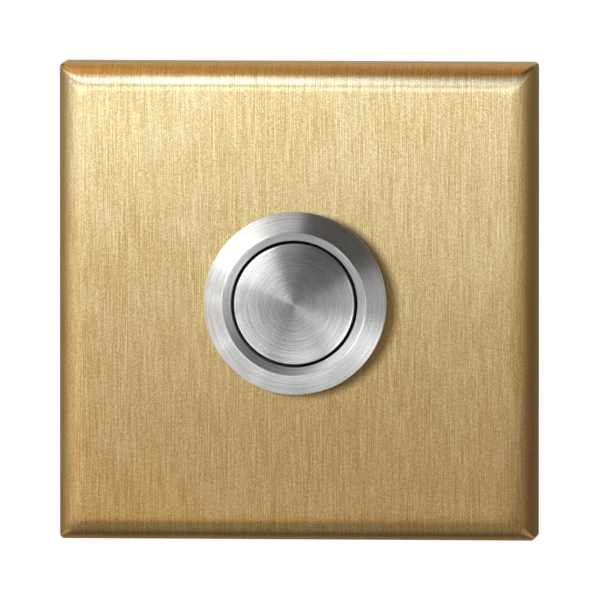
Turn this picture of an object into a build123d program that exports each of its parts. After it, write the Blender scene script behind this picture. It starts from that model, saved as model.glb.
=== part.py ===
from build123d import *
import math
import os

# Doorbell push button: a square brass rose with a turned stainless push switch in its middle.
# The wall face is the plane y = 0, its centre is the origin, +Z is up and the front faces -Y.
# Millimetres throughout.

# Rose cover
rose_side = 50.0
rose_depth = 8.0
front_round = 2.8
corner_round = 0.5
side_wall = 3.0
front_wall = 3.0
pocket_corner = 3.0
barrel_hole_clearance = 0.2

# Wall plate, and the grub screw that locks the cover on it
plate_thickness = 3.6
plate_clearance = 0.3
plate_window_clearance = 1.03
plate_screw_land = 5.0
plate_screw_d = 4.2
plate_screw_head_d = 7.8
plate_screw_head_angle = 90.0
tongue_width = 16.0
tongue_height = 1.2
tongue_thickness = 1.4
tongue_clearance = 0.15
grub_d = 3.0
grub_length = 3.6
grub_sink = 0.4
grub_tip_d = 1.0
grub_socket_width = 1.5
grub_socket_depth = 1.8
grub_from_wall = 2.0
grub_clearance = 0.05

# Bezel and barrel, one turned piece
barrel_d = 16.0
barrel_wall = 1.38
barrel_chamfer = 0.4
socket_wall = 1.05
flange_overhang = 1.6
bezel_rim_height = 0.6
bezel_height = 2.4
bezel_lip_height = 2.0
inner_bevel_width = 0.88
ridge_round = 0.2
rim_round = 0.12
seal_width = 0.9
seal_depth = 0.5
seal_clearance = 0.05
guide_length = 3.0
shoulder_reach = 0.75
crimp_thickness = 0.8
crimp_reach = 0.45

# Washer and nut behind the front wall
washer_thickness = 0.6
washer_width = 1.9
washer_clearance = 0.1
washer_teeth = 12
washer_tooth_gap = 1.6
washer_tooth_depth = 0.8
nut_wall = 1.5
nut_thickness = 2.5
nut_chamfer_angle = 30.0
thread_clearance = 0.03

# Cap with its stem, and what rides on the stem
travel = 1.5
cap_gap = 0.24
cap_proud = 0.1
cap_dome = 0.7
cap_edge_round = 0.35
cap_thickness = 2.4
stem_d = 5.0
stem_tail = 0.9
running_clearance = 0.05
stop_gap = 0.05
ring_section_d = 0.9
ring_clearance = 0.03
ring_lead = 0.75
clip_d = 8.4
clip_thickness = 0.6
clip_throat = 3.6
clip_relief_d = 1.0
clip_groove_depth = 0.5
clip_clearance = 0.02

# Springs
return_length = 4.3
return_coil_d = 9.4
return_wire_d = 0.55
return_turns = 3.5
contact_coil_d = 3.0
contact_wire_d = 0.3
contact_turns = 3.5
spring_end_gap = 0.02

# Plunger and moving contact
spigot_d = 2.6
spigot_length = 2.2
spigot_clearance = 0.02
collar_d = 5.8
collar_thickness = 1.0
nose_d = 2.0
nose_head_d = 3.0
nose_head_length = 0.7
bridge_width = 3.4
bridge_thickness = 0.5
bridge_end = 0.5
bridge_hole_clearance = 0.1
tip_d = 2.0
tip_thickness = 0.4
tip_round = 0.12
tip_margin = 0.4
contact_gap = 0.05

# Base and terminals
base_thickness = 4.4
base_step = 1.2
base_clearance = 0.05
base_chamfer = 0.3
skirt_height = 2.0
skirt_wall = 1.0
rail_width = 0.8
rail_length = 3.0
rail_gap = 0.3
rail_lead = 0.4
strip_width = 3.8
strip_thickness = 0.6
strip_bend = 0.3
strip_pad_length = 3.4
strip_skirt_gap = 0.2
strip_clearance = 0.05
barrier_width = 1.2
barrier_gap = 0.5
barrier_height = 2.9
clamp_inset = 0.127
clamp_thickness = 0.6
clamp_corner = 0.4
clamp_edge = 0.85
screw_length = 4.4
screw_head_inset = 0.1
screw_head_height = 1.5
screw_head_round = 0.6
screw_slot_width = 0.6
screw_slot_depth = 0.7
screw_clearance = 0.05
screw_hole_spare = 0.5

# Radii about the button's axis
barrel_r = barrel_d / 2
mouth_r = barrel_r - barrel_wall
cap_r = mouth_r - cap_gap
ridge_r = mouth_r + inner_bevel_width
bezel_r = barrel_r + flange_overhang
seal_r = barrel_r + seal_width
stem_r = stem_d / 2
guide_r = stem_r + running_clearance
ring_r = guide_r - ring_clearance - ring_section_d / 2
ring_groove_r = ring_r - ring_section_d / 2 - ring_clearance
clip_groove_r = stem_r - clip_groove_depth
socket_r = barrel_r - socket_wall
crimp_r = socket_r - crimp_reach
chamber_r = socket_r - shoulder_reach
skirt_r = socket_r - skirt_wall
base_rear_r = crimp_r - base_clearance
washer_r = barrel_r + washer_clearance
nut_width = barrel_d + 2 * nut_wall
nut_corner_r = nut_width / math.sqrt(3)
window_r = nut_corner_r + plate_window_clearance

# Places along the button's axis, from the front to the back
contact_length = travel + rail_lead + rail_gap
face_y = -rose_depth
pocket_y = face_y + front_wall
rim_y = face_y - bezel_rim_height
ridge_y = face_y - bezel_height
lip_y = face_y - bezel_lip_height
cap_edge_y = lip_y - cap_proud
cap_top_y = cap_edge_y - cap_dome
cap_under_y = cap_edge_y + cap_thickness
recess_y = cap_under_y + return_length
ring_y = recess_y + ring_lead
guide_end_y = recess_y + guide_length
clip_front_y = guide_end_y + stop_gap
clip_rear_y = clip_front_y + clip_thickness
stem_end_y = clip_rear_y + stem_tail
collar_y = stem_end_y + collar_thickness
bridge_front_y = collar_y + contact_length
bridge_rear_y = bridge_front_y + bridge_thickness
bridge_tip_y = bridge_rear_y + tip_thickness
terminal_tip_y = bridge_tip_y + travel + contact_gap
pad_y = terminal_tip_y + tip_thickness
floor_y = pad_y + strip_thickness
shoulder_y = floor_y - skirt_height
base_step_y = floor_y + base_step
base_rear_y = floor_y + base_thickness
barrel_end_y = base_step_y + crimp_thickness
tab_y = base_rear_y + strip_thickness
clamp_y = tab_y + clamp_thickness
screw_top_y = clamp_y + screw_head_height
washer_y = pocket_y + washer_thickness
nut_y = washer_y + nut_thickness

# Places across the axis
rose_half = rose_side / 2
pocket_side = rose_side - 2 * side_wall
plate_side = pocket_side - 2 * plate_clearance
plate_screw_x = window_r + plate_screw_land
tongue_y = tongue_thickness - plate_thickness
grub_outer_z = grub_sink - rose_half
grub_inner_z = grub_outer_z + grub_length
grub_cone_z = grub_inner_z - (grub_d - grub_tip_d) / 2
dimple_depth = grub_inner_z + plate_side / 2
web_x = math.sqrt((skirt_r - strip_skirt_gap) ** 2 - (strip_width / 2) ** 2)
pad_x = web_x - strip_pad_length
tip_x = pad_x + tip_margin + tip_d / 2
tab_x = barrier_width / 2 + barrier_gap
clamp_side = web_x - tab_x - clamp_inset
screw_x = tab_x + clamp_side / 2
screw_d = clamp_side - 2 * clamp_edge
screw_head_d = clamp_side - 2 * screw_head_inset
rail_z = bridge_width / 2 + rail_gap + rail_width / 2


def wall_plane(y):
    """Plane parallel to the wall at y, from which an extrusion goes to the front."""
    return Plane.XZ.offset(-y)


def pair(x):
    """Two places at -x and +x on a level line."""
    return GridLocations(2 * x, 0, 2, 1)


os.makedirs("parts", exist_ok=True)

# Rose cover: a rounded square block cut to an arch both ways, so its rounded front edges meet in mitres
with BuildPart() as rose_cover:
    with BuildSketch(wall_plane(0)):
        RectangleRounded(rose_side, rose_side, corner_round)
    extrude(amount=rose_depth)
    with BuildSketch(Plane.YZ) as upright_arch:
        Rectangle(rose_depth, rose_side, align=(Align.MAX, Align.CENTER))
        fillet(upright_arch.vertices().group_by(Axis.X)[0], front_round)
    extrude(amount=rose_half, both=True, mode=Mode.INTERSECT)
    with BuildSketch(Plane.XY) as level_arch:
        Rectangle(rose_side, rose_depth, align=(Align.CENTER, Align.MAX))
        fillet(level_arch.vertices().group_by(Axis.Y)[0], front_round)
    extrude(amount=rose_half, both=True, mode=Mode.INTERSECT)
    with BuildSketch(wall_plane(0)):
        RectangleRounded(pocket_side, pocket_side, pocket_corner)
    extrude(amount=rose_depth - front_wall, mode=Mode.SUBTRACT)
    with BuildSketch(wall_plane(0)):
        Circle(barrel_r + barrel_hole_clearance)
    extrude(amount=rose_depth, mode=Mode.SUBTRACT)
    # Groove in the pocket's upper wall for the plate's tongue
    with BuildSketch(wall_plane(tongue_y + tongue_clearance)):
        with Locations((0, pocket_side / 2)):
            Rectangle(tongue_width + 2 * tongue_clearance, 2 * (tongue_height + tongue_clearance))
    extrude(amount=tongue_thickness + 2 * tongue_clearance, mode=Mode.SUBTRACT)
    # Hole in the lower wall for the grub screw
    with BuildSketch(Plane.XY.offset(-rose_half)):
        with Locations((0, -grub_from_wall)):
            Circle(grub_d / 2 + grub_clearance)
    extrude(amount=side_wall + plate_clearance, mode=Mode.SUBTRACT)
rose_cover.part.label = "rose_cover"
export_step(rose_cover.part, "parts/rose_cover.step")

# Wall plate: window for the nut, countersunk screw holes, tongue above and dimple below
with BuildPart() as wall_plate:
    with BuildSketch(wall_plane(0)):
        RectangleRounded(plate_side, plate_side, pocket_corner - plate_clearance)
        Circle(window_r, mode=Mode.SUBTRACT)
    extrude(amount=plate_thickness)
    with BuildSketch(wall_plane(tongue_y)):
        with Locations((0, plate_side / 2)):
            Rectangle(tongue_width, plate_clearance + tongue_height, align=(Align.CENTER, Align.MIN))
    extrude(amount=tongue_thickness)
    with Locations(wall_plane(-plate_thickness)):
        with pair(plate_screw_x):
            CounterSinkHole(
                plate_screw_d / 2,
                plate_screw_head_d / 2,
                counter_sink_angle=plate_screw_head_angle,
            )
    with Locations((0, -grub_from_wall, -plate_side / 2)):
        Cone(
            grub_tip_d / 2 + dimple_depth + grub_clearance,
            grub_tip_d / 2 + grub_clearance,
            dimple_depth,
            align=(Align.CENTER, Align.CENTER, Align.MIN),
            mode=Mode.SUBTRACT,
        )
wall_plate.part.label = "wall_plate"
export_step(wall_plate.part, "parts/wall_plate.step")

# Grub screw: cone point upwards, hexagon socket below
with BuildPart() as grub_screw:
    with BuildSketch(wall_plane(-grub_from_wall)):
        with BuildLine():
            Polyline(
                (0, grub_outer_z),
                (grub_d / 2, grub_outer_z),
                (grub_d / 2, grub_cone_z),
                (grub_tip_d / 2, grub_inner_z),
                (0, grub_inner_z),
                close=True,
            )
        make_face()
    revolve(axis=Axis((0, -grub_from_wall, 0), (0, 0, 1)))
    with BuildSketch(Plane.XY.offset(grub_outer_z)):
        with Locations((0, -grub_from_wall)):
            RegularPolygon(grub_socket_width / 2, 6, major_radius=False)
    extrude(amount=grub_socket_depth, mode=Mode.SUBTRACT)
grub_screw.part.label = "grub_screw"
export_step(grub_screw.part, "parts/grub_screw.step")

# Bezel: bevelled ring and barrel, with the cap's recess in front, a guide for the stem,
# a contact chamber behind and a rear lip rolled in over the base
with BuildPart() as button_bezel:
    with BuildSketch(Plane.XY) as bezel_section:
        with BuildLine():
            Polyline(
                (mouth_r, lip_y),
                (ridge_r, ridge_y),
                (bezel_r, rim_y),
                (bezel_r, face_y),
                (seal_r, face_y),
                (seal_r, face_y - seal_depth),
                (barrel_r, face_y - seal_depth),
                (barrel_r, barrel_end_y - barrel_chamfer),
                (barrel_r - barrel_chamfer, barrel_end_y),
                (crimp_r, barrel_end_y),
                (crimp_r, base_step_y),
                (socket_r, base_step_y),
                (socket_r, shoulder_y),
                (chamber_r, shoulder_y),
                (chamber_r, guide_end_y),
                (guide_r, guide_end_y),
                (guide_r, recess_y),
                (mouth_r, recess_y),
                close=True,
            )
        make_face()
        fillet(bezel_section.vertices().sort_by(Axis.Y)[0], ridge_round)
        fillet(bezel_section.vertices().group_by(Axis.X)[-1].sort_by(Axis.Y)[0], rim_round)
    revolve(axis=Axis.Y)
button_bezel.part.label = "button_bezel"
export_step(button_bezel.part, "parts/button_bezel.step")

# Flange seal: rubber ring in the groove under the bezel's flange
with BuildPart() as flange_seal:
    with BuildSketch(wall_plane(face_y)):
        Circle(seal_r - seal_clearance)
        Circle(barrel_r + seal_clearance, mode=Mode.SUBTRACT)
    extrude(amount=seal_depth)
flange_seal.part.label = "flange_seal"
export_step(flange_seal.part, "parts/flange_seal.step")

# Lock washer: flat ring with teeth on its inner edge
with BuildPart() as lock_washer:
    with BuildSketch(wall_plane(washer_y)):
        Circle(washer_r + washer_width)
        Circle(washer_r, mode=Mode.SUBTRACT)
        with PolarLocations(washer_r, washer_teeth):
            Rectangle(2 * washer_tooth_depth, washer_tooth_gap, mode=Mode.SUBTRACT)
    extrude(amount=washer_thickness)
lock_washer.part.label = "lock_washer"
export_step(lock_washer.part, "parts/lock_washer.step")

# Lock nut: hexagon with its corners turned down on both faces
nut_chamfer = (nut_corner_r - nut_width / 2) * math.tan(math.radians(nut_chamfer_angle))
with BuildPart() as lock_nut:
    with BuildSketch(wall_plane(nut_y)):
        RegularPolygon(nut_width / 2, 6, major_radius=False)
        Circle(barrel_r + thread_clearance, mode=Mode.SUBTRACT)
    extrude(amount=nut_thickness)
    with BuildSketch(Plane.XY):
        with BuildLine():
            Polyline(
                (0, washer_y),
                (nut_width / 2, washer_y),
                (nut_corner_r, washer_y + nut_chamfer),
                (nut_corner_r, nut_y - nut_chamfer),
                (nut_width / 2, nut_y),
                (0, nut_y),
                close=True,
            )
        make_face()
    revolve(axis=Axis.Y, mode=Mode.INTERSECT)
lock_nut.part.label = "lock_nut"
export_step(lock_nut.part, "parts/lock_nut.step")

# Button cap: domed head and stem, with a seal groove, a clip groove and a bore for the plunger
with BuildPart() as button_cap:
    with BuildSketch(Plane.XY) as cap_section:
        with BuildLine():
            TangentArc((0, cap_top_y), (cap_r, cap_edge_y), tangent=(1, 0))
            Polyline(
                (cap_r, cap_edge_y),
                (cap_r, cap_under_y),
                (stem_r, cap_under_y),
                (stem_r, ring_y - ring_section_d / 2 - ring_clearance),
                (ring_groove_r, ring_y - ring_section_d / 2 - ring_clearance),
                (ring_groove_r, ring_y + ring_section_d / 2 + ring_clearance),
                (stem_r, ring_y + ring_section_d / 2 + ring_clearance),
                (stem_r, clip_front_y - clip_clearance),
                (clip_groove_r, clip_front_y - clip_clearance),
                (clip_groove_r, clip_rear_y + clip_clearance),
                (stem_r, clip_rear_y + clip_clearance),
                (stem_r, stem_end_y),
                (spigot_d / 2 + spigot_clearance, stem_end_y),
                (spigot_d / 2 + spigot_clearance, stem_end_y - spigot_length),
                (0, stem_end_y - spigot_length),
                (0, cap_top_y),
            )
        make_face()
        fillet(cap_section.vertices().group_by(Axis.X)[-1].sort_by(Axis.Y)[0], cap_edge_round)
    revolve(axis=Axis.Y)
button_cap.part.label = "button_cap"
export_step(button_cap.part, "parts/button_cap.step")

# Cap seal: O-ring in the stem's groove
with BuildPart() as cap_seal:
    with BuildSketch(Plane.XY):
        with Locations((ring_r, ring_y)):
            Circle(ring_section_d / 2)
    revolve(axis=Axis.Y)
cap_seal.part.label = "cap_seal"
export_step(cap_seal.part, "parts/cap_seal.step")

# Stem clip: open ring in the stem's groove, with its throat below
with BuildPart() as stem_clip:
    with BuildSketch(wall_plane(clip_rear_y)):
        Circle(clip_d / 2)
        Circle(clip_groove_r + clip_clearance, mode=Mode.SUBTRACT)
        Rectangle(clip_throat, clip_d, align=(Align.CENTER, Align.MAX), mode=Mode.SUBTRACT)
        with pair(clip_groove_r):
            Circle(clip_relief_d / 2, mode=Mode.SUBTRACT)
    extrude(amount=clip_thickness)
stem_clip.part.label = "stem_clip"
export_step(stem_clip.part, "parts/stem_clip.step")

# Return spring: open coil round the stem, from the cap to the floor of its recess
with BuildPart() as return_spring:
    with BuildLine() as return_coil:
        Helix(
            pitch=(return_length - return_wire_d - 2 * spring_end_gap) / return_turns,
            height=return_length - return_wire_d - 2 * spring_end_gap,
            radius=(return_coil_d - return_wire_d) / 2,
            center=(0, cap_under_y + return_wire_d / 2 + spring_end_gap, 0),
            direction=(0, 1, 0),
        )
    with BuildSketch(Plane(origin=return_coil.line @ 0, z_dir=return_coil.line % 0)):
        Circle(return_wire_d / 2)
    sweep(path=return_coil.line, is_frenet=True)
return_spring.part.label = "return_spring"
export_step(return_spring.part, "parts/return_spring.step")

# Plunger: spigot in the stem, collar for the contact spring, nose with a snap head for the bridge
nose_head_y = bridge_rear_y + nose_head_length
with BuildPart() as plunger:
    with BuildSketch(Plane.XY):
        with BuildLine():
            Polyline(
                (0, stem_end_y - spigot_length + spigot_clearance),
                (spigot_d / 2, stem_end_y - spigot_length + spigot_clearance),
                (spigot_d / 2, stem_end_y),
                (collar_d / 2, stem_end_y),
                (collar_d / 2, collar_y),
                (nose_d / 2, collar_y),
                (nose_d / 2, bridge_rear_y),
                (nose_head_d / 2, bridge_rear_y),
                (nose_d / 2, nose_head_y),
                (0, nose_head_y),
                close=True,
            )
        make_face()
    revolve(axis=Axis.Y)
plunger.part.label = "plunger"
export_step(plunger.part, "parts/plunger.step")

# Contact spring: open coil on the plunger's nose, from the collar to the bridge
with BuildPart() as contact_spring:
    with BuildLine() as contact_coil:
        Helix(
            pitch=(contact_length - contact_wire_d - 2 * spring_end_gap) / contact_turns,
            height=contact_length - contact_wire_d - 2 * spring_end_gap,
            radius=(contact_coil_d - contact_wire_d) / 2,
            center=(0, collar_y + contact_wire_d / 2 + spring_end_gap, 0),
            direction=(0, 1, 0),
        )
    with BuildSketch(Plane(origin=contact_coil.line @ 0, z_dir=contact_coil.line % 0)):
        Circle(contact_wire_d / 2)
    sweep(path=contact_coil.line, is_frenet=True)
contact_spring.part.label = "contact_spring"
export_step(contact_spring.part, "parts/contact_spring.step")

# Contact bridge: round-ended strip that slides on the plunger's nose
with BuildPart() as contact_bridge:
    with BuildSketch(wall_plane(bridge_rear_y)):
        SlotOverall(2 * (tip_x + tip_d / 2 + bridge_end), bridge_width)
        Circle(nose_d / 2 + bridge_hole_clearance, mode=Mode.SUBTRACT)
    extrude(amount=bridge_thickness)
contact_bridge.part.label = "contact_bridge"
export_step(contact_bridge.part, "parts/contact_bridge.step")

# Bridge tips: contact rivets on the bridge's rear face
with BuildPart() as bridge_tips:
    with BuildSketch(wall_plane(bridge_tip_y)):
        with pair(tip_x):
            Circle(tip_d / 2)
    extrude(amount=tip_thickness)
    fillet(bridge_tips.edges().group_by(Axis.Y)[-1], tip_round)
bridge_tips.part.label = "bridge_tips"
export_step(bridge_tips.part, "parts/bridge_tips.step")

# Terminal tips: contact rivets on the strips' pads, facing the bridge
with BuildPart() as terminal_tips:
    with BuildSketch(wall_plane(pad_y)):
        with pair(tip_x):
            Circle(tip_d / 2)
    extrude(amount=tip_thickness)
    fillet(terminal_tips.edges().group_by(Axis.Y)[0], tip_round)
terminal_tips.part.label = "terminal_tips"
export_step(terminal_tips.part, "parts/terminal_tips.step")

# Right terminal: strip bent from the contact pad through the base to the screw tab
with BuildPart() as terminal_right:
    with BuildSketch(Plane.XY):
        with BuildLine():
            FilletPolyline(
                (pad_x, pad_y),
                (web_x, pad_y),
                (web_x, tab_y),
                (tab_x, tab_y),
                radius=strip_bend + strip_thickness,
            )
            offset(amount=strip_thickness, side=Side.LEFT)
        make_face()
    extrude(amount=strip_width / 2, both=True)
    with BuildSketch(wall_plane(tab_y)):
        with Locations((screw_x, 0)):
            Circle(screw_d / 2 + screw_clearance)
    extrude(amount=strip_thickness, mode=Mode.SUBTRACT)
terminal_right.part.label = "terminal_right"
export_step(terminal_right.part, "parts/terminal_right.step")

# Left terminal: the right one mirrored
with BuildPart() as terminal_left:
    mirror(terminal_right.part, about=Plane.YZ)
terminal_left.part.label = "terminal_left"
export_step(terminal_left.part, "parts/terminal_left.step")

# Contact base: skirt in the barrel's socket, rails beside the bridge, slots for the strips,
# screw holes and a barrier between the terminals
slot_inner_x = web_x - strip_thickness - strip_bend - strip_clearance
slot_outer_x = web_x + strip_clearance
with BuildPart() as contact_base:
    with BuildSketch(Plane.XY):
        with BuildLine():
            Polyline(
                (0, floor_y),
                (skirt_r, floor_y),
                (skirt_r, shoulder_y),
                (socket_r - base_clearance, shoulder_y),
                (socket_r - base_clearance, base_step_y),
                (base_rear_r, base_step_y),
                (base_rear_r, base_rear_y - base_chamfer),
                (base_rear_r - base_chamfer, base_rear_y),
                (0, base_rear_y),
                close=True,
            )
        make_face()
    revolve(axis=Axis.Y)
    with BuildSketch(wall_plane(base_rear_y)):
        with pair((slot_inner_x + slot_outer_x) / 2):
            Rectangle(slot_outer_x - slot_inner_x, strip_width + 2 * strip_clearance)
    extrude(amount=base_thickness, mode=Mode.SUBTRACT)
    with BuildSketch(wall_plane(base_rear_y)):
        with pair(screw_x):
            Circle(screw_d / 2 + screw_clearance)
    extrude(
        amount=screw_length - clamp_thickness - strip_thickness + screw_hole_spare,
        mode=Mode.SUBTRACT,
    )
    with BuildSketch(wall_plane(floor_y)):
        with GridLocations(0, 2 * rail_z, 1, 2):
            Rectangle(rail_length, rail_width)
    extrude(amount=floor_y - bridge_front_y + rail_lead)
    with BuildSketch(wall_plane(base_rear_y + barrier_height)):
        Circle(base_rear_r - base_chamfer)
        Rectangle(barrier_width, 2 * base_rear_r, mode=Mode.INTERSECT)
    extrude(amount=barrier_height)
contact_base.part.label = "contact_base"
export_step(contact_base.part, "parts/contact_base.step")

# Clamp washers: square plates that hold the wires on the tabs
with BuildPart() as clamp_washers:
    with BuildSketch(wall_plane(clamp_y)):
        with pair(screw_x):
            RectangleRounded(clamp_side, clamp_side, clamp_corner)
            Circle(screw_d / 2 + screw_clearance, mode=Mode.SUBTRACT)
    extrude(amount=clamp_thickness)
clamp_washers.part.label = "clamp_washers"
export_step(clamp_washers.part, "parts/clamp_washers.step")

# Terminal screws: slotted pan heads
with BuildPart() as terminal_screws:
    with BuildSketch(wall_plane(screw_top_y)):
        with pair(screw_x):
            Circle(screw_head_d / 2)
    extrude(amount=screw_head_height)
    fillet(terminal_screws.edges().group_by(Axis.Y)[-1], screw_head_round)
    with BuildSketch(wall_plane(clamp_y)):
        with pair(screw_x):
            Circle(screw_d / 2)
    extrude(amount=screw_length)
    with BuildSketch(wall_plane(screw_top_y)):
        with pair(screw_x):
            Rectangle(screw_slot_width, screw_head_d)
    extrude(amount=screw_slot_depth, mode=Mode.SUBTRACT)
terminal_screws.part.label = "terminal_screws"
export_step(terminal_screws.part, "parts/terminal_screws.step")
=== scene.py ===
"""Dresses the doorbell push button: a square satin brass rose with a turned stainless push in its middle.

The wall face is the plane y = 0, +Z is up and the front faces -Y. Sizes are fields in millimetres, and
the meshes are made from them in metres, in the frame of the solids that they stand for.
"""

import logging
import math
from dataclasses import dataclass, field, replace
from enum import Enum

import bpy
import numpy as np
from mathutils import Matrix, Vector


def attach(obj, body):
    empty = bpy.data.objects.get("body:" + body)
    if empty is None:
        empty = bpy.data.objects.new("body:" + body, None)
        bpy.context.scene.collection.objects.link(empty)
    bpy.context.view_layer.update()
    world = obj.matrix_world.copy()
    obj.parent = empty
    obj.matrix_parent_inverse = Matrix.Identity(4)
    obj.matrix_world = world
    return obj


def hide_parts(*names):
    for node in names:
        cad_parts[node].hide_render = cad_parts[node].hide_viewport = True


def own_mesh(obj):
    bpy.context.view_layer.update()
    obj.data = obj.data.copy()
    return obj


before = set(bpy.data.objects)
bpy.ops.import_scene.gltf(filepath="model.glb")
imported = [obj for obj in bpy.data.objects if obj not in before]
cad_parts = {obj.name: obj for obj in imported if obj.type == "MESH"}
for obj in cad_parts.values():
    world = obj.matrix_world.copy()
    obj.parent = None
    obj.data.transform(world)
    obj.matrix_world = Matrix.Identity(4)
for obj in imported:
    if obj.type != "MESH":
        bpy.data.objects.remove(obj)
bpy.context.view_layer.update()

Array = np.ndarray
Pair = tuple[float, float]
Triple = tuple[float, float, float]
Colour = Triple
Card = tuple[float, float, float | Colour]
Socket = bpy.types.NodeSocket
Piece = bpy.types.Object

LOG = logging.getLogger("doorbell_push")
MM = 0.001
SHARP_ANGLE = math.radians(28)
BRUSH_MAP = "brush"
SUPPORT_SHARE = 0.25
LINE_STARTS = 12.0
QUARTER_TURN = 0.25
PANEL_Y = -160.0


class Body(Enum):
    """The two bodies that pieces ride on."""

    HOUSING = "housing"
    PUSH = "push"


class Pattern(Enum):
    """How a finish lies on its piece."""

    GRAIN = "grain"
    BRUSHED = "brushed"
    TURNED = "turned"


# Surfaces


@dataclass
class Surface:
    """Points in millimetres, and the quads and triangles that join them."""

    points: Array
    quads: Array
    triangles: Array = field(default_factory=lambda: np.zeros((0, 3), int))

    def outward(self) -> "Surface":
        """Turns every face over if the faces of this closed surface point inwards.

        Returns:
            The same surface, whose volume is positive.
        """
        corners = np.concatenate([self.quads[:, [0, 1, 2]], self.quads[:, [0, 2, 3]], self.triangles])
        a, b, c = (self.points[corners[:, i]] for i in range(3))
        if np.einsum("ij,ij->i", a, np.cross(b, c)).sum() < 0:
            self.quads = self.quads[:, ::-1]
            self.triangles = self.triangles[:, ::-1]
        return self

    def with_copy_at(self, shift: Triple) -> "Surface":
        """Adds a copy of the surface beside it.

        Args:
            shift: how far the copy stands from the first.

        Returns:
            One surface of both.
        """
        count = len(self.points)
        return Surface(
            np.concatenate([self.points, self.points + np.array(shift)]),
            np.concatenate([self.quads, self.quads + count]),
            np.concatenate([self.triangles, self.triangles + count]),
        )

    def as_object(self, name: str) -> Piece:
        """Puts the surface into a mesh object at the origin, shaded smooth up to the sharp angle.

        Args:
            name: the piece's name.

        Returns:
            The new object, linked to the scene.
        """
        mesh = bpy.data.meshes.new(name)
        mesh.from_pydata((self.points * MM).tolist(), [], self.quads.tolist() + self.triangles.tolist())
        mesh.update()
        shade(mesh)
        return link(name, mesh)


def shade(mesh: bpy.types.Mesh) -> None:
    """Shades a mesh smooth up to the sharp angle."""
    mesh.shade_smooth()
    mesh.set_sharp_from_angle(angle=SHARP_ANGLE)


def link(name: str, data: bpy.types.ID) -> Piece:
    """Puts a mesh, light or camera into a new object at the origin, and links it to the scene.

    Args:
        name: the object's name.
        data: what it holds.

    Returns:
        The new object.
    """
    holder = bpy.data.objects.new(name, data)
    bpy.context.scene.collection.objects.link(holder)
    return holder


def grid_quads(rows: int, columns: int, wrap_rows: bool) -> Array:
    """Quads between neighbours of a grid whose columns close on themselves.

    Args:
        rows: points along the section.
        columns: points round the path.
        wrap_rows: whether the last row also joins the first.

    Returns:
        Point indices, four to a face.
    """
    index = np.arange(rows * columns).reshape(rows, columns)
    index = np.hstack([index, index[:, :1]])
    if wrap_rows:
        index = np.vstack([index, index[:1]])
    return np.stack([index[:-1, :-1], index[:-1, 1:], index[1:, 1:], index[1:, :-1]], -1).reshape(-1, 4)


def end_fans(rows: int, columns: int) -> Array:
    """Triangles from a grid's first and last rows to two tips, which are numbered after its points.

    Args:
        rows: points along the section.
        columns: points round the path.

    Returns:
        Point indices, three to a face.
    """
    first = np.arange(columns)
    last = first + (rows - 1) * columns
    tips = np.full((2, columns), rows * columns) + [[0], [1]]
    return np.concatenate([
        np.stack([tips[0], np.roll(first, -1), first], -1),
        np.stack([tips[1], last, np.roll(last, -1)], -1),
    ])


def rounded(corners: list[Triple], closed: bool, steps: int = 6) -> Array:
    """Outline whose corners are arcs tangent to both sides.

    Each corner (r, y, radius) becomes an arc about the point where the two offset sides meet, and a
    supporting point follows on each side next to the arc, so that straight sides shade flat.

    Args:
        corners: corner points in order, with the radius of each.
        closed: whether the last corner joins the first.
        steps: spans of each arc.

    Returns:
        The outline's points (r, y).
    """
    places = np.array([corner[:2] for corner in corners])
    share = np.linspace(0, 1, steps + 1)[:, None]
    outline = []
    for i, (here, (_, _, radius)) in enumerate(zip(places, corners)):
        ends = not closed and i in (0, len(corners) - 1)
        if radius == 0 or ends:
            outline.append(here[None])
            continue
        back = places[i - 1] - here
        ahead = places[(i + 1) % len(places)] - here
        back /= np.linalg.norm(back)
        ahead /= np.linalg.norm(ahead)
        half = math.acos(np.clip(back @ ahead, -1, 1)) / 2
        run = radius / math.tan(half)
        centre = here + (back + ahead) / np.linalg.norm(back + ahead) * radius / math.sin(half)
        start, end = here + back * run - centre, here + ahead * run - centre
        sweep = math.pi - 2 * half
        arc = start * np.sin((1 - share) * sweep) + end * np.sin(share * sweep)
        arc = arc / math.sin(sweep) + centre
        support = run + SUPPORT_SHARE * radius
        outline.append(np.vstack([here + back * support, arc, here + ahead * support]))
    return np.vstack(outline)


def turned(outline: Array, segments: int, relief: Array | None = None) -> Surface:
    """Outline turned about the Y axis.

    Point (r, y) of the outline at turn t goes to (r cos t, y, r sin t). An outline that starts and ends
    on the axis is closed by a pole at each end, and any other is a ring whose last row joins its first.

    Args:
        outline: points (r, y).
        segments: points round the axis.
        relief: what is added to the radius, by row and by turn.

    Returns:
        The closed surface.
    """
    poles = outline[0, 0] == 0
    rows = outline[1:-1] if poles else outline
    turn = np.linspace(0, 2 * np.pi, segments, endpoint=False)
    radius = rows[:, :1] + (np.zeros((1, segments)) if relief is None else relief)
    depth = np.broadcast_to(rows[:, 1:], radius.shape)
    points = np.stack([radius * np.cos(turn), depth, radius * np.sin(turn)], -1).reshape(-1, 3)
    quads = grid_quads(len(rows), segments, wrap_rows=not poles)
    if not poles:
        return Surface(points, quads).outward()
    tips = np.stack([np.zeros(2), outline[[0, -1], 1], np.zeros(2)], -1)
    return Surface(np.concatenate([points, tips]), quads, end_fans(len(rows), segments)).outward()


def prism(section: Array, low: float, high: float) -> Surface:
    """Section (x, y) carried straight up from low to high, with a fan on each end.

    Args:
        section: the section's corners in order.
        low: height of the lower end.
        high: height of the upper end.

    Returns:
        The closed surface.
    """
    count = len(section)
    rows = [np.column_stack([section, np.full(count, z)]) for z in (low, high)]
    middle = section.mean(0)
    tips = np.array([[*middle, low], [*middle, high]])
    quads = grid_quads(2, count, wrap_rows=False)
    return Surface(np.concatenate([*rows, tips]), quads, end_fans(2, count)).outward()


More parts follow.
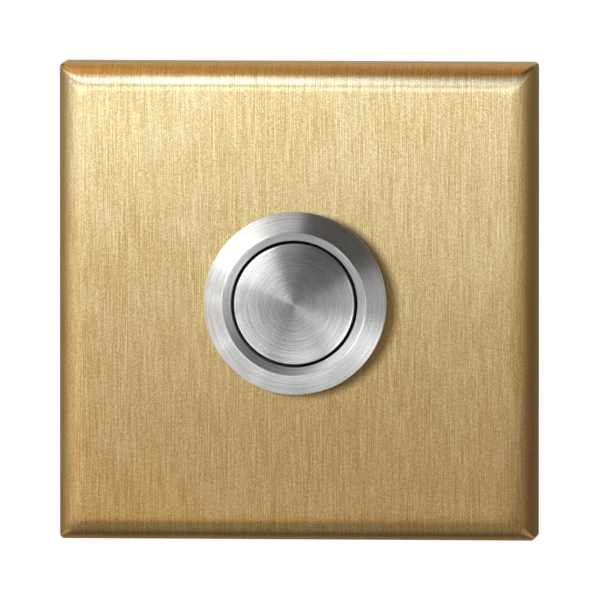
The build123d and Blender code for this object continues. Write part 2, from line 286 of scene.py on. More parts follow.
def cut_away(piece: Piece, cutter: Surface) -> None:
    """Cuts a surface's volume out of a piece.

    Args:
        piece: the piece, whose mesh is replaced by the cut one.
        cutter: the closed surface that is taken away.
    """
    tool = cutter.as_object("cutter")
    step = piece.modifiers.new("cut", "BOOLEAN")
    step.operation = "DIFFERENCE"
    step.solver = "EXACT"
    step.object = tool
    graph = bpy.context.evaluated_depsgraph_get()
    mesh = bpy.data.meshes.new_from_object(piece.evaluated_get(graph))
    piece.modifiers.clear()
    piece.data = mesh
    shade(mesh)
    bpy.data.objects.remove(tool)


# Finishes


class NodePad:
    """The node tree of a material or world, with short ways to add nodes to it."""

    def __init__(self, owner: bpy.types.Material | bpy.types.World) -> None:
        """Empties the tree.

        Args:
            owner: the material or world.
        """
        owner.use_nodes = True
        self.tree = owner.node_tree
        self.tree.nodes.clear()

    def add(self, kind: str, **settings: object) -> bpy.types.Node:
        """Adds a node.

        Args:
            kind: Blender's name of the node type, without its ShaderNode part.
            settings: properties of the node.

        Returns:
            The node.
        """
        node = self.tree.nodes.new("ShaderNode" + kind)
        for name, value in settings.items():
            setattr(node, name, value)
        return node

    def feed(self, socket: Socket, value: object) -> None:
        """Links a socket to another node's output, or sets its own value.

        Args:
            socket: a node's input.
            value: the output that feeds it, or its value.
        """
        if isinstance(value, bpy.types.NodeSocket):
            self.tree.links.new(value, socket)
        else:
            socket.default_value = value

    def fill(self, node: bpy.types.Node, values: dict[str, object]) -> None:
        """Feeds a node's inputs by their names."""
        for name, value in values.items():
            self.feed(node.inputs[name], value)

    def result(self, kind: str, *values: object, output: int = 0, **settings: object) -> Socket:
        """Adds a node and feeds its inputs in order.

        Args:
            kind: Blender's name of the node type, without its ShaderNode part.
            values: sockets, numbers or vectors.
            output: which result is wanted.
            settings: properties of the node.

        Returns:
            The result.
        """
        node = self.add(kind, **settings)
        for socket, value in zip(node.inputs, values):
            self.feed(socket, value)
        return node.outputs[output]

    def math(self, operation: str, *values: object) -> Socket:
        """Works out a sum, product or other function of numbers."""
        return self.result("Math", *values, operation=operation)

    def vector(self, operation: str, *values: object, output: int = 0) -> Socket:
        """Works out a function of vectors."""
        return self.result("VectorMath", *values, output=output, operation=operation)

    def along(self, vector: Socket, axis: Triple) -> Socket:
        """Number: the vector's measure along an axis, times the axis's length."""
        return self.vector("DOT_PRODUCT", vector, axis, output=1)

    def joined(self, *values: object) -> Socket:
        """Vector made of three numbers or sockets."""
        return self.result("CombineXYZ", *values)

    def blended(self, share: float, first: Socket, second: Socket) -> Socket:
        """Number that holds this share of the second and the rest of the first."""
        parts = self.math("MULTIPLY", first, 1 - share), self.math("MULTIPLY", second, share)
        return self.math("ADD", *parts)

    def scaled(self, vector: Socket, factor: object) -> Socket:
        """Multiplies a vector by one number.

        Args:
            vector: the vector.
            factor: socket or number.

        Returns:
            The scaled vector.
        """
        node = self.add("VectorMath", operation="SCALE")
        self.fill(node, {"Vector": vector, "Scale": factor})
        return node.outputs[0]

    def noise(self, where: Socket, scale: float, detail: float = 3.0, rough: float = 0.55) -> Socket:
        """Noise from 0 to 1, about 0.5.

        Args:
            where: the place to read it at.
            scale: waves to a unit of length.
            detail: finer layers.
            rough: strength of each finer layer.

        Returns:
            The noise.
        """
        node = self.add("TexNoise", noise_dimensions="3D")
        self.fill(node, {"Vector": where, "Scale": scale, "Detail": detail, "Roughness": rough})
        return node.outputs[0]

    def ranged(self, value: Socket, source: Pair, target: Pair) -> Socket:
        """Maps one range of numbers onto another, held at its ends."""
        return self.result("MapRange", value, *source, *target, clamp=True)

    def mixed(self, share: object, first: object, second: object) -> Socket:
        """Mixes two colours.

        Args:
            share: how much of the second.
            first: socket or colour.
            second: socket or colour.

        Returns:
            The mixed colour.
        """
        node = self.add("Mix", data_type="RGBA")
        colours = [socket for socket in node.inputs if socket.type == "RGBA"]
        self.feed(node.inputs[0], share)
        for socket, colour in zip(colours, (first, second)):
            self.feed(socket, colour if isinstance(colour, bpy.types.NodeSocket) else (*colour, 1.0))
        return next(socket for socket in node.outputs if socket.type == "RGBA")


@dataclass(frozen=True)
class PaintedShade:
    """Painted shade: darker colour laid on a finish past a depth, or near a line along Y through (x, z).

    The painted shade comes in over the span, in millimetres, which runs from where the finish is still
    plain.
    """

    light: Colour
    dark: Colour
    span: Pair
    roughness: float
    line: Pair | None = None

    def share(self, pad: NodePad, here: Socket) -> Socket:
        """How far the painted shade has come in, from 0 to 1.

        Args:
            pad: the material's nodes.
            here: the place on the object, in metres.

        Returns:
            The share.
        """
        measure = pad.along(here, (0.0, 1.0, 0.0))
        if self.line:
            x, z = self.line
            beside = pad.vector("SUBTRACT", here, (x * MM, 0.0, z * MM))
            measure = pad.vector("LENGTH", pad.vector("MULTIPLY", beside, (1.0, 0.0, 1.0)), output=1)
        return pad.ranged(measure, tuple(end * MM for end in self.span), (0.0, 1.0))


@dataclass(frozen=True)
class Finish:
    """One surface finish, whose colour, roughness and bump all follow the same pattern.

    The pattern is noise at two scales: fine marks, and broad clouds that vary the colour slowly.
    """

    name: str
    light: Colour
    dark: Colour
    metallic: float
    roughness: Pair
    pattern: Pattern = Pattern.GRAIN
    grain_width: float = 0.15
    grain_share: float = 0.25
    mark_width: float = 0.3
    mark_length: float = 12.0
    marks_per_turn: float = 5.0
    softness: float = 0.2
    cloud_size: float = 6.0
    cloud_share: float = 0.35
    bump: float = 0.1
    bump_depth: float = 0.004
    anisotropy: float = 0.0
    specular: float = 0.5
    # Painted shade layers, laid over the colour in order.
    painted_shading: tuple[PaintedShade, ...] = ()
    slot: str = ""

    def marks(self, pad: NodePad, here: Socket) -> Socket:
        """The fine marks, from 0 to 1.

        Grain is noise that is the same all ways. Lines are noise drawn out along them: brushed lines
        run along the second axis of the piece's brush map, and turned ones are rings about the Y axis,
        told apart by r + y, so that a cone, a flat and a cylinder all show them. Each line starts at a
        place of its own, so that their ends don't stand in rows, and a little grain lies over them.

        Args:
            pad: the material's nodes.
            here: the place on the object, in metres.

        Returns:
            The marks.
        """
        grain = pad.noise(pad.scaled(here, 1 / (self.grain_width * MM)), 1.0)
        if self.pattern is Pattern.GRAIN:
            return grain
        if self.pattern is Pattern.BRUSHED:
            brush = pad.add("UVMap", uv_map=BRUSH_MAP).outputs["UV"]
            line = pad.along(brush, (1 / (self.mark_width * MM), 0.0, 0.0))
            course = pad.joined(0.0, pad.along(brush, (0.0, 1 / (self.mark_length * MM), 0.0)), 0.0)
        else:
            ring = pad.vector("MULTIPLY", here, (1.0, 0.0, 1.0))
            radius = pad.vector("LENGTH", ring, output=1)
            depth = pad.along(here, (0.0, 1.0, 0.0))
            line = pad.math("DIVIDE", pad.math("ADD", radius, depth), self.mark_width * MM)
            course = pad.scaled(pad.vector("NORMALIZE", ring), self.marks_per_turn / (2 * math.pi))
            x, z = pad.along(course, (1.0, 0.0, 0.0)), pad.along(course, (0.0, 0.0, 1.0))
            course = pad.joined(0.0, x, z)
        own = pad.noise(pad.joined(line, 0.5, 0.5), 1.0, detail=0.0)
        start = pad.joined(line, pad.math("MULTIPLY", own, LINE_STARTS), 0.0)
        lines = pad.noise(pad.vector("ADD", course, start), 1.0, detail=2.0, rough=0.7)
        return pad.blended(self.grain_share, lines, grain)

    def material(self) -> bpy.types.Material:
        """Makes the material, or returns it if it is there already.

        Returns:
            The material.
        """
        name = self.name + "_finish"
        if name in bpy.data.materials:
            return bpy.data.materials[name]
        material = bpy.data.materials.new(name)
        pad = NodePad(material)
        here = pad.add("TexCoord").outputs["Object"]
        marks = self.marks(pad, here)
        clouds = pad.noise(here, 1 / (self.cloud_size * MM), detail=2.0)
        blend = pad.blended(self.cloud_share, marks, clouds)
        window = (0.5 - self.softness, 0.5 + self.softness)
        share = pad.ranged(blend, window, (0.0, 1.0))
        shader = pad.add("BsdfPrincipled")
        colour = pad.mixed(share, self.dark, self.light)
        rough = pad.ranged(blend, window, self.roughness[::-1])
        # Painted shade: each layer darkens the colour over its span and sets the roughness there.
        for shading_layer in self.painted_shading:
            past = shading_layer.share(pad, here)
            colour = pad.mixed(past, colour, pad.mixed(share, shading_layer.dark, shading_layer.light))
            change = pad.math("SUBTRACT", shading_layer.roughness, rough)
            rough = pad.math("MULTIPLY_ADD", past, change, rough)
        pad.fill(shader, {"Base Color": colour, "Roughness": rough, "Metallic": self.metallic,
                          "Specular IOR Level": self.specular})
        if self.bump:
            bump = pad.add("Bump")
            pad.fill(bump, {"Strength": self.bump, "Distance": self.bump_depth * MM, "Height": marks})
            pad.feed(shader.inputs["Normal"], bump.outputs[0])
        if self.anisotropy:
            self.lay_highlight(pad, shader)
        pad.feed(pad.add("OutputMaterial").inputs[0], shader.outputs[0])
        return material

    def lay_highlight(self, pad: NodePad, shader: bpy.types.Node) -> None:
        """Spreads the highlight across the marks: level on brushed faces, radial on turned ones.

        Args:
            pad: the material's nodes.
            shader: its surface shader.
        """
        shader.inputs["Anisotropic"].default_value = self.anisotropy
        if self.pattern is Pattern.BRUSHED:
            tangent = pad.add("Tangent", direction_type="UV_MAP", uv_map=BRUSH_MAP)
        else:
            tangent = pad.add("Tangent", direction_type="RADIAL", axis="Y")
            shader.inputs["Anisotropic Rotation"].default_value = QUARTER_TURN
        pad.feed(shader.inputs["Tangent"], tangent.outputs[0])


class Finishes:
    """The finishes of this object, by the record's slot names."""

    satin_brass = Finish(
        "satin_brass", (1.0, 0.81, 0.42), (0.60, 0.355, 0.10), 1.0, (0.45, 0.47), Pattern.BRUSHED,
        grain_width=0.12, grain_share=0.37, mark_width=0.085, mark_length=4.5, softness=0.058,
        cloud_size=14.0, cloud_share=0.06, bump=0.3, bump_depth=0.003, anisotropy=0.8,
        # Painted shadow of the bezel on the cover: darker within 10.0 to 9.1 mm of a line just right of
        # and below the axis.
        painted_shading=(PaintedShade((0.32, 0.205, 0.08), (0.21, 0.115, 0.03), (10.0, 9.1), 0.46, line=(1.16, -0.31)),
               # Painted shade: the sides and the outer front rounds darker, from 7.6 mm before the wall
               # face, fully from 7.0 mm.
               PaintedShade((0.735, 0.53, 0.225), (0.505, 0.29, 0.076), (-7.6, -7.0), 0.42)))
    turned_stainless = Finish(
        "turned_stainless", (0.72, 0.72, 0.725), (0.37, 0.37, 0.375), 1.0, (0.29, 0.33), Pattern.TURNED,
        grain_width=0.09, grain_share=0.32, mark_width=0.09, marks_per_turn=8.0, softness=0.055,
        cloud_size=8.0, cloud_share=0.08, bump=0.35, bump_depth=0.003, anisotropy=0.85)
    turned_bezel_painted_shade = replace(
        turned_stainless, name="turned_bezel_painted_shade", slot="turned_stainless",
        # Painted shade: the inner bevel inside r 7.4 mm darker, for the shade of its recess by the cap,
        # and rougher.
        painted_shading=(PaintedShade((0.50, 0.50, 0.505), (0.34, 0.34, 0.345), (7.45, 7.35), 0.58, line=(0.0, 0.0)),))
    zinc_steel = Finish(
        "zinc_steel", (0.66, 0.68, 0.70), (0.50, 0.52, 0.54), 0.75, (0.42, 0.58),
        grain_width=0.9, cloud_size=9.0, cloud_share=0.5, bump=0.05)
    black_steel = Finish(
        "black_steel", (0.055, 0.055, 0.06), (0.025, 0.025, 0.028), 0.6, (0.38, 0.55), grain_width=0.12)
    nickel = Finish(
        "nickel", (0.72, 0.69, 0.64), (0.60, 0.57, 0.52), 1.0, (0.20, 0.32),
        grain_width=0.3, bump=0.05)
    spring_steel = Finish(
        "spring_steel", (0.50, 0.50, 0.51), (0.36, 0.36, 0.38), 1.0, (0.28, 0.42),
        grain_width=0.2, bump=0.05)
    seal_rubber = Finish(
        "seal_rubber", (0.030, 0.030, 0.031), (0.018, 0.018, 0.019), 0.0, (0.62, 0.80),
        grain_width=0.1, specular=0.35)
    natural_nylon = Finish(
        "natural_nylon", (0.78, 0.75, 0.67), (0.70, 0.67, 0.58), 0.0, (0.38, 0.52), grain_width=0.25)
    black_plastic = Finish(
        "black_plastic", (0.036, 0.036, 0.039), (0.022, 0.022, 0.024), 0.0, (0.42, 0.58),
        grain_width=0.14, bump=0.25, bump_depth=0.006)
    strip_brass = Finish(
        "strip_brass", (0.80, 0.60, 0.27), (0.68, 0.48, 0.19), 1.0, (0.26, 0.38),
        grain_width=0.35, bump=0.05)
    contact_silver = Finish(
        "contact_silver", (0.86, 0.85, 0.83), (0.74, 0.73, 0.70), 1.0, (0.22, 0.36),
        grain_width=0.2, bump=0.05)


def settle(piece: Piece, node: str, body: Body, finish: Finish) -> None:
    """Seats a new piece: it rides on its body, stands for its solid and takes its finish.

    Args:
        piece: the new piece.
        node: the solid that it stands for.
        body: the body that it rides on.
        finish: its finish, whose name the material takes.
    """
    piece.data.materials.clear()
    piece.data.materials.append(finish.material())
    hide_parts(node)
    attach(piece, body.value)
    LOG.info("%s: %d faces, %s, on %s", piece.name, len(piece.data.polygons), finish.name, body.value)


def dress(node: str, finish: Finish) -> None:
    """Gives a solid that keeps its own shape a better finish.

    Args:
        node: the solid's name.
        finish: its finish.
    """
    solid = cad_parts[node]
    solid.data.materials.clear()
    solid.data.materials.append(finish.material())
    LOG.info("%s: solid, %s", node, finish.name)


# Sub-assemblies


@dataclass
class Rose:
    """Square cover with rounded front edges and eased mitres, and the plate and screw that hold it."""

    half: float = 25.0
    depth: float = 8.0
    front_round: float = 2.8
    corner: float = 0.5
    front_corner: float = 1.0
    edge: float = 0.12
    front_wall: float = 3.0
    side_wall: float = 3.0
    pocket_corner: float = 3.0
    hole: float = 8.2
    groove_half: float = 8.15
    groove_top: float = 23.35
    groove_span: Pair = (-3.75, -2.05)
    grub_hole: float = 1.55
    grub_from_wall: float = 2.0
    grub_points: int = 48
    cut_past: float = 1.0
    hole_spread: Pair = (0.4, 0.6)
    side_ends: Pair = (0.004, 0.03)
    corner_steps: int = 12
    side_steps: int = 19
    round_steps: int = 20

    def path(self) -> tuple[Array, Array, Array]:
        """A square path with rounded corners, as two arrays that its size and corner radius multiply.

        A point of the path at half side h and corner radius c is (h - c) A + c B: A runs round the
        square's corners, and B is the unit circle, still along each side.

        Returns:
            A, B, and for each point whether the face after it belongs to an upright side.
        """
        quarter = np.linspace(0, 0.5 * np.pi, self.corner_steps + 1)
        near, inner = self.side_ends
        along = np.linspace(inner, 1 - inner, self.side_steps)
        along = np.concatenate([[near], along, [1 - near]])
        signs = np.array([[1, 1], [-1, 1], [-1, -1], [1, -1]])
        square, circle, upright = [], [], []
        for i, sign in enumerate(signs):
            angle = quarter + i * 0.5 * np.pi
            arc = np.column_stack([np.cos(angle), np.sin(angle)])
            after = signs[(i + 1) % 4]
            square += [np.repeat(sign[None], len(angle), 0), sign + along[:, None] * (after - sign)]
            circle += [arc, np.repeat(arc[-1:], len(along), 0)]
            first_half = quarter < 0.25 * np.pi - 1e-6
            standing = i % 2 == 0
            upright += [np.where(first_half, standing, not standing), np.full(len(along), not standing)]
        return np.concatenate(square).astype(float), np.concatenate(circle), np.concatenate(upright)

    def section(self) -> Array:
        """The cover's section, from its back edge over the front to the hole and through the pocket.

        The front edge is a quarter round: at angle a, the half side is h - R (1 - cos a) and the depth
        grows by R sin a. The corner's radius grows evenly as the half side shrinks, so the rounds meet in
        eased mitres.

        Returns:
            Rows of (half side, corner radius, y, whether it is a circle).
        """
        h, edge, front = self.half, self.edge, -self.depth
        angle = np.linspace(0, 0.5 * np.pi, self.round_steps + 1)
        side = h - self.front_round * (1 - np.cos(angle))
        deep = front + self.front_round * (1 - np.sin(angle))
        corner = self.corner + (self.front_corner - self.corner) * (h - side) / self.front_round
        pocket, roof = h - self.side_wall, front + self.front_wall
        inner = self.pocket_corner
        rows = [
            [(h - edge, self.corner - edge, 0, 0), (h, self.corner, -edge, 0),
             (h, self.corner, -2 * edge, 0)],
            np.column_stack([side, corner, deep, np.zeros_like(side)]),
            [(side[-1] - edge, self.front_corner, front, 0)],
            [(self.hole + 2 * edge, 0, front, 1), (self.hole + edge, 0, front, 1),
             (self.hole, 0, front + edge, 1), (self.hole, 0, roof - edge, 1),
             (self.hole + edge, 0, roof, 1)],
            [(pocket - 2 * edge, inner, roof, 0), (pocket - edge, inner, roof, 0),
             (pocket, inner, roof + edge, 0), (pocket, inner, roof + 2 * edge, 0),
             (pocket, inner, -2 * edge, 0), (pocket, inner, -edge, 0), (pocket + edge, inner, 0, 0)],
        ]
        return np.concatenate([np.array(row, float) for row in rows])

    def cover(self) -> Piece:
        """Carries the section round the square path, and lays the brush map on it.

        Round the hole, the path's points stand at the angles of 0.4 A + 0.6 B. On the front the brush
        map is (x, z). On the sides it goes on along the section, so that the brush lines run over the
        upper and lower edges and along the left and right ones.

        Returns:
            The cover, with the plate's groove and the grub screw's hole cut in it.
        """
        square, circle, upright = self.path()
        half, corner, depth, is_circle = self.section().T[:, :, None, None]
        of_square, of_circle = self.hole_spread
        turn = np.unwrap(np.arctan2(*(of_square * square + of_circle * circle).T[::-1]))
        ring = np.column_stack([np.cos(turn), np.sin(turn)])
        flat = np.where(is_circle > 0, half * ring, (half - corner) * square + corner * circle)
        rows, columns = flat.shape[:2]
        points = np.insert(flat, 1, np.broadcast_to(depth[..., 0], (rows, columns)), axis=2)
        shape = Surface(points.reshape(-1, 3), grid_quads(rows, columns, wrap_rows=True)).outward()
        piece = shape.as_object("rose_cover_brushed")
        self.lay_brush_map(piece, shape, flat, depth[:, 0, 0], upright)
        cut_away(piece, self.groove())
        cut_away(piece, self.screw_hole())
        return piece

    def lay_brush_map(self, piece: Piece, shape: Surface, flat: Array, depth: Array,
                      upright: Array) -> None:
        """Writes the brush map, in metres, for every corner of every face.

        Args:
            piece: the cover.
            shape: its surface.
            flat: the grid's (x, z).
            depth: each row's y.
            upright: for each column, whether its faces belong to an upright side.
        """
        run_out = (self.depth + depth)[:, None] * np.ones(flat.shape[1])
        edge = self.half - self.front_round
        clipped = np.clip(flat, -edge, edge)
        over = np.sign(flat) * (np.abs(flat - clipped) + run_out[..., None] * (np.abs(flat) > edge))
        level = np.stack([flat[..., 0], clipped[..., 1] + over[..., 1]], -1).reshape(-1, 2)
        standing = np.stack([clipped[..., 0] + over[..., 0], flat[..., 1]], -1).reshape(-1, 2)
        column = np.tile(np.arange(flat.shape[1]), flat.shape[0])
        maps = np.where(upright[column][:, None, None], standing[shape.quads], level[shape.quads])
        layer = piece.data.uv_layers.new(name=BRUSH_MAP)
        layer.data.foreach_set("uv", (maps * MM).astype(np.float32).ravel())

    def groove(self) -> Surface:
        """The space of the plate's tongue, a box in the pocket's upper wall.

        Returns:
            The closed surface, which passes the wall's inner face.
        """
        low = self.half - self.side_wall - self.cut_past
        x, (front, back) = self.groove_half, self.groove_span
        return prism(np.array([(-x, front), (x, front), (x, back), (-x, back)]), low, self.groove_top)

    def screw_hole(self) -> Surface:
        """The grub screw's hole, a cylinder through the lower wall.

        Returns:
            The closed surface, which passes both faces of the wall.
        """
        turn = np.linspace(0, 2 * np.pi, self.grub_points, endpoint=False)
        ring = self.grub_hole * np.column_stack([np.cos(turn), np.sin(turn)]) - (0, self.grub_from_wall)
        return prism(ring, -self.half - self.cut_past, self.side_wall - self.half + self.cut_past)

    def build(self) -> None:
        """Builds the cover and dresses the plate and the screw."""
        settle(self.cover(), "rose_cover", Body.HOUSING, Finishes.satin_brass)
        dress("wall_plate", Finishes.zinc_steel)
        dress("grub_screw", Finishes.black_steel)


@dataclass
class Bezel:
    """Turned bezel with its threaded barrel, and the seal, washer and nut that hold it in the rose."""

    mouth: float = 6.67
    ridge: float = 7.5
    rim: float = 9.6
    seal: float = 8.9
    barrel: float = 8.0
    crimp: float = 6.5
    socket: float = 6.95
    chamber: float = 6.2
    guide: float = 2.55
    lip_y: float = -10.0
    ridge_y: float = -10.4
    rim_y: float = -8.6
    face_y: float = -8.0
    recess_y: float = -3.4
    guide_end_y: float = -0.4
    shoulder_y: float = 5.8
    step_y: float = 9.0
    end_y: float = 9.8
    ridge_round: float = 0.2
    rim_round: float = 0.12
    edge: float = 0.06
    seal_depth: float = 0.5
    seal_clearance: float = 0.05
    thread_pitch: float = 1.0
    thread_depth: float = 0.55
    thread_span: Pair = (-4.6, 9.3)
    thread_narrow: float = 1.3
    thread_steps: int = 10
    chamfer: float = 0.4
    seal_round: float = 0.1
    seal_segments: int = 128
    segments: int = 192

    def outline(self) -> Array:
        """The bezel's section, from the lip over the ridge and rim, along the barrel and back inside.

        Returns:
            The section's points (r, y).
        """
        edge = self.edge
        front, back = self.thread_span
        before = [
            (self.mouth, self.lip_y, edge), (self.ridge, self.ridge_y, self.ridge_round),
            (self.rim, self.rim_y, self.rim_round), (self.rim, self.face_y, edge),
            (self.seal, self.face_y, edge), (self.seal, self.face_y - self.seal_depth, 0),
            (self.barrel, self.face_y - self.seal_depth, 0), (self.barrel, front, 0),
        ]
        behind = [
            (self.barrel, back, 0), (self.barrel - self.chamfer, self.end_y, edge),
            (self.crimp, self.end_y, edge), (self.crimp, self.step_y, 0),
            (self.socket, self.step_y, 0), (self.socket, self.shoulder_y, 0),
            (self.chamber, self.shoulder_y, edge), (self.chamber, self.guide_end_y, 0),
            (self.guide, self.guide_end_y, edge), (self.guide, self.recess_y, edge),
            (self.mouth, self.recess_y, 0),
        ]
        return rounded(before + behind, closed=True)

    def shape(self) -> Surface:
        """The turned section with a helical thread on the barrel.

        The thread's depth at turn t is half of 1 + cos (2 pi y / pitch - t), raised to a power that
        narrows its roots, and it fades in and out over one pitch at the ends.

        Returns:
            The closed surface.
        """
        outline = self.outline()
        front, back = self.thread_span
        on_barrel = np.isclose(outline[:, 0], self.barrel)
        split = int(np.flatnonzero(on_barrel & np.isclose(outline[:, 1], front))[0])
        count = int((back - front) / self.thread_pitch * self.thread_steps)
        steps = np.linspace(front, back, count + 1)[1:-1]
        thread = np.column_stack([np.full_like(steps, self.barrel), steps])
        outline = np.vstack([outline[:split + 1], thread, outline[split + 1:]])
        turn = np.linspace(0, 2 * np.pi, self.segments, endpoint=False)
        depth_at = outline[:, 1:]
        wave = 0.5 + 0.5 * np.cos(2 * np.pi * depth_at / self.thread_pitch - turn)
        inside = (depth_at > front) & (depth_at < back) & np.isclose(outline[:, :1], self.barrel)
        fade = np.clip(np.minimum(depth_at - front, back - depth_at) / self.thread_pitch, 0, 1)
        depth = self.thread_depth * wave ** self.thread_narrow * fade * inside
        return turned(outline, self.segments, -depth)

    def flange_seal(self) -> Surface:
        """Rubber ring with rounded edges, in the groove under the flange.

        Returns:
            The closed surface.
        """
        inner, outer = self.barrel + self.seal_clearance, self.seal - self.seal_clearance
        front, back = self.face_y - self.seal_depth, self.face_y
        places = ((inner, front), (outer, front), (outer, back), (inner, back))
        corners = [(*place, self.seal_round) for place in places]
        return turned(rounded(corners, closed=True, steps=4), self.seal_segments)

    def build(self) -> None:
        """Builds the bezel and its seal, and dresses the washer and nut."""
        settle(self.shape().as_object("button_bezel_turned"), "button_bezel", Body.HOUSING,
               Finishes.turned_bezel_painted_shade)
        settle(self.flange_seal().as_object("flange_seal_ring"), "flange_seal", Body.HOUSING,
               Finishes.seal_rubber)
        dress("lock_washer", Finishes.spring_steel)
        dress("lock_nut", Finishes.nickel)


@dataclass
class PushCap:
    """Domed cap with its stem, and the ring, clip and plunger that move with it."""

    radius: float = 6.34
    top_y: float = -10.8
    edge_y: float = -10.1
    under_y: float = -7.7
    edge_round: float = 0.24
    stem: float = 2.5
    ring_y: float = -2.65
    ring_section: float = 0.45
    ring_middle: float = 2.07
    ring_groove: float = 1.59
    ring_groove_half: float = 0.48
    clip_groove: float = 2.0
    clip_span: Pair = (-0.37, 0.27)
    stem_end_y: float = 1.15
    bore: float = 1.32
    bore_end_y: float = -1.05
    edge: float = 0.06
    spigot: float = 1.3
    spigot_y: float = -1.03
    collar: float = 2.9
    collar_y: float = 2.15
    nose: float = 1.0
    nose_head: float = 1.5
    bridge_rear_y: float = 4.85
    nose_end_y: float = 5.55
    segments: int = 192
    small_segments: int = 96
    ring_points: int = 24
    dome_steps: int = 28

    def shape(self) -> Surface:
        """Cap and stem, turned from one section.

        The dome is an arc of the sphere through its middle and its edge: with sag s over radius a, the
        sphere's radius is (a a + s s) / 2 s, and a point at r lies R - sqrt(R R - r r) behind the top.

        Returns:
            The closed surface.
        """
        sag = self.edge_y - self.top_y
        sphere = (self.radius ** 2 + sag ** 2) / (2 * sag)
        r = np.linspace(0, self.radius - 2 * self.edge_round, self.dome_steps)
        dome = np.column_stack([r, self.top_y + sphere - np.sqrt(sphere ** 2 - r ** 2)])
        edge = self.edge
        front, back = self.ring_y - self.ring_groove_half, self.ring_y + self.ring_groove_half
        clip_front, clip_back = self.clip_span
        corners = [(*dome[-1], 0)] + [
            (self.radius, self.edge_y, self.edge_round), (self.radius, self.under_y, 2 * edge),
            (self.stem, self.under_y, edge), (self.stem, front, edge), (self.ring_groove, front, edge),
            (self.ring_groove, back, edge), (self.stem, back, edge), (self.stem, clip_front, edge),
            (self.clip_groove, clip_front, 0), (self.clip_groove, clip_back, 0),
            (self.stem, clip_back, edge), (self.stem, self.stem_end_y, 2 * edge),
            (self.bore, self.stem_end_y, edge), (self.bore, self.bore_end_y, 0), (0, self.bore_end_y, 0),
        ]
        return turned(np.vstack([dome[:-1], rounded(corners, closed=False)]), self.segments)

    def seal(self) -> Surface:
        """O-ring: a circle turned about the axis.

        Returns:
            The closed surface.
        """
        turn = np.linspace(0, 2 * np.pi, self.ring_points, endpoint=False)
        circle = self.ring_section * np.column_stack([np.cos(turn), np.sin(turn)])
        return turned(circle + (self.ring_middle, self.ring_y), self.small_segments)

    def plunger(self) -> Surface:
        """Insulating pusher: spigot, collar, nose and snap head, turned with moulded edges.

        Returns:
            The closed surface.
        """
        edge = self.edge
        corners = [
            (0, self.spigot_y, 0), (self.spigot, self.spigot_y, 2 * edge),
            (self.spigot, self.stem_end_y, 0),
            (self.collar, self.stem_end_y, edge), (self.collar, self.collar_y, 2 * edge),
            (self.nose, self.collar_y, edge), (self.nose, self.bridge_rear_y, 0),
            (self.nose_head, self.bridge_rear_y, edge), (self.nose, self.nose_end_y, 2 * edge),
            (0, self.nose_end_y, 0),
        ]
        return turned(rounded(corners, closed=False, steps=4), self.small_segments)

    def build(self) -> None:
        """Builds the cap, ring and plunger, and dresses the clip."""
        settle(self.shape().as_object("button_cap_turned"), "button_cap", Body.PUSH,
               Finishes.turned_stainless)
        settle(self.seal().as_object("cap_seal_ring"), "cap_seal", Body.PUSH, Finishes.seal_rubber)
        settle(self.plunger().as_object("plunger_moulded"), "plunger", Body.PUSH, Finishes.natural_nylon)
        dress("stem_clip", Finishes.spring_steel)


@dataclass
class CoilSpring:
    """Wire coil about the Y axis, with closed ends that are ground flat."""

    node: str
    name: str
    body: Body
    coil: float
    wire: float
    turns: float
    front_y: float
    rear_y: float
    end_turn: float = 0.5
    end_pace: float = 0.25
    end_sink: float = 0.8
    wire_points: int = 20
    turn_points: int = 64

    def shape(self) -> Surface:
        """A circle carried along a helix.

        The helix advances slowly over the first and last half turn and evenly between them. A wire
        point at angle a is the helix point plus w (cos a) outwards plus w (sin a) across the wire. What
        passes the ends is pressed onto them, as grinding does.

        Returns:
            The closed surface.
        """
        middle, wire = (self.coil - self.wire) / 2, self.wire / 2
        turn = np.linspace(0, self.turns, int(self.turns * self.turn_points) + 1)
        within = np.clip(np.minimum(turn, self.turns - turn) / self.end_turn, 0, 1)
        pace = self.end_pace + (1 - self.end_pace) * within
        rise = np.concatenate([[0], np.cumsum((pace[1:] + pace[:-1]) / 2)])
        low, high = self.front_y + self.end_sink * wire, self.rear_y - self.end_sink * wire
        y = low + (high - low) * rise / rise[-1]
        angle = 2 * np.pi * turn
        outward = np.column_stack([np.cos(angle), np.zeros_like(angle), np.sin(angle)])
        path = middle * outward + y[:, None] * np.array([0, 1, 0])
        ahead = np.gradient(path, axis=0)
        ahead /= np.linalg.norm(ahead, axis=1)[:, None]
        across = np.cross(ahead, outward)
        around = np.linspace(0, 2 * np.pi, self.wire_points, endpoint=False)[None, :, None]
        circle = np.cos(around) * outward[:, None] + np.sin(around) * across[:, None]
        tube = path[:, None] + wire * circle
        tube[..., 1] = np.clip(tube[..., 1], self.front_y, self.rear_y)
        grid = tube.shape[:2]
        points = np.concatenate([tube.reshape(-1, 3), path[[0, -1]]])
        return Surface(points, grid_quads(*grid, wrap_rows=False), end_fans(*grid)).outward()

    def build(self) -> Piece:
        """Builds the spring.

        Returns:
            Its piece.
        """
        piece = self.shape().as_object(self.name)
        settle(piece, self.node, self.body, Finishes.spring_steel)
        return piece


